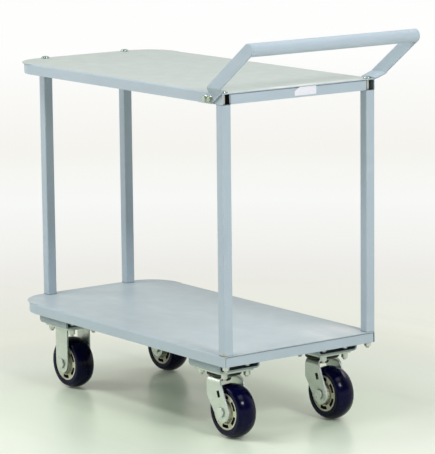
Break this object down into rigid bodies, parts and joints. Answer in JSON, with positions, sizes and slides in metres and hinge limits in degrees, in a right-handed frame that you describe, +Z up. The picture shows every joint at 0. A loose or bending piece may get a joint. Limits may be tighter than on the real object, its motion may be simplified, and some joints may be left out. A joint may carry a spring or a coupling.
{
  "type": "service cart",
  "caption": "Steel service cart with an upper and a lower deck, square tube legs, rounded front corners, a raised tube handle, rigid front casters and swivel rear casters.",
  "frame": {"origin": "on the floor, under the middle of the whole cart", "axes": "+X to the handle end, +Y to the right of a person at the handle, +Z up"},
  "size_m": [1.0562, 0.4986, 0.9667],
  "materials": {
    "paint": "satin blue-grey powder coat",
    "zinc": "bright zinc plating",
    "yellow_zinc": "yellow zinc plating",
    "core": "cream moulded plastic",
    "tread": "glossy dark blue polyurethane",
    "bearing": "oiled steel",
    "sticker": "blank white film"
  },
  "bodies": {
    "frame": {"caster_bolts": "zinc", "caster_channel_front_left": "paint", "caster_channel_front_right": "paint", "caster_channel_rear_left": "paint", "caster_channel_rear_right": "paint", "caster_nuts": "zinc", "deck_bolts": "zinc", "foot_nuts": "zinc", "foot_sleeves": "zinc", "foot_studs": "zinc", "handle_arm_left": "paint", "handle_arm_right": "paint", "handle_bar": "paint", "handle_bolts": "yellow_zinc", "handle_nuts": "yellow_zinc", "kingpin_nuts": "zinc", "kingpins": "zinc", "label": "sticker", "leg_foot_plugs": "zinc", "leg_front_left": "paint", "leg_front_right": "paint", "leg_rear_left": "paint", "leg_rear_right": "paint", "leg_top_plugs": "zinc", "lower_deck": "paint", "lower_front_rim": "paint", "lower_rear_apron": "paint", "rigid_axle_bolts": "zinc", "rigid_axle_nuts": "zinc", "rigid_axle_sleeves": "zinc", "rigid_fork_left": "zinc", "rigid_fork_right": "zinc", "rigid_plate_left": "zinc", "rigid_plate_right": "zinc", "swivel_plate_left": "zinc", "swivel_plate_right": "zinc", "swivel_races": "zinc", "upper_deck": "paint", "upper_front_rim": "paint", "upper_rear_apron": "paint"},
    "swivel_left": {"swivel_axle_bolt_left": "zinc", "swivel_axle_nut_left": "zinc", "swivel_axle_sleeve_left": "zinc", "swivel_fork_left": "zinc"},
    "swivel_right": {"swivel_axle_bolt_right": "zinc", "swivel_axle_nut_right": "zinc", "swivel_axle_sleeve_right": "zinc", "swivel_fork_right": "zinc"},
    "wheel_front_left": {"wheel_bearing_front_left": "bearing", "wheel_core_front_left": "core", "wheel_tread_front_left": "tread"},
    "wheel_front_right": {"wheel_bearing_front_right": "bearing", "wheel_core_front_right": "core", "wheel_tread_front_right": "tread"},
    "wheel_rear_left": {"wheel_bearing_rear_left": "bearing", "wheel_core_rear_left": "core", "wheel_tread_rear_left": "tread"},
    "wheel_rear_right": {"wheel_bearing_rear_right": "bearing", "wheel_core_rear_right": "core", "wheel_tread_rear_right": "tread"}
  },
  "joints": [
    {"name": "front_left_roll", "type": "hinge", "parent": "frame", "child": "wheel_front_left", "pos_m": [-0.37334, -0.1502, 0.0658], "axis": [0, 1, 0], "continuous": true},
    {"name": "front_right_roll", "type": "hinge", "parent": "frame", "child": "wheel_front_right", "pos_m": [-0.37334, 0.1502, 0.0658], "axis": [0, 1, 0], "continuous": true},
    {"name": "rear_left_swivel", "type": "hinge", "parent": "frame", "child": "swivel_left", "pos_m": [0.27826, -0.1502, 0.14], "axis": [0, 0, 1], "continuous": true},
    {"name": "rear_left_roll", "type": "hinge", "parent": "swivel_left", "child": "wheel_rear_left", "pos_m": [0.31226, -0.1502, 0.0658], "axis": [0, 1, 0], "continuous": true},
    {"name": "rear_right_swivel", "type": "hinge", "parent": "frame", "child": "swivel_right", "pos_m": [0.27826, 0.1502, 0.14], "axis": [0, 0, 1], "continuous": true},
    {"name": "rear_right_roll", "type": "hinge", "parent": "swivel_right", "child": "wheel_rear_right", "pos_m": [0.31226, 0.1502, 0.0658], "axis": [0, 1, 0], "continuous": true}
  ]
}
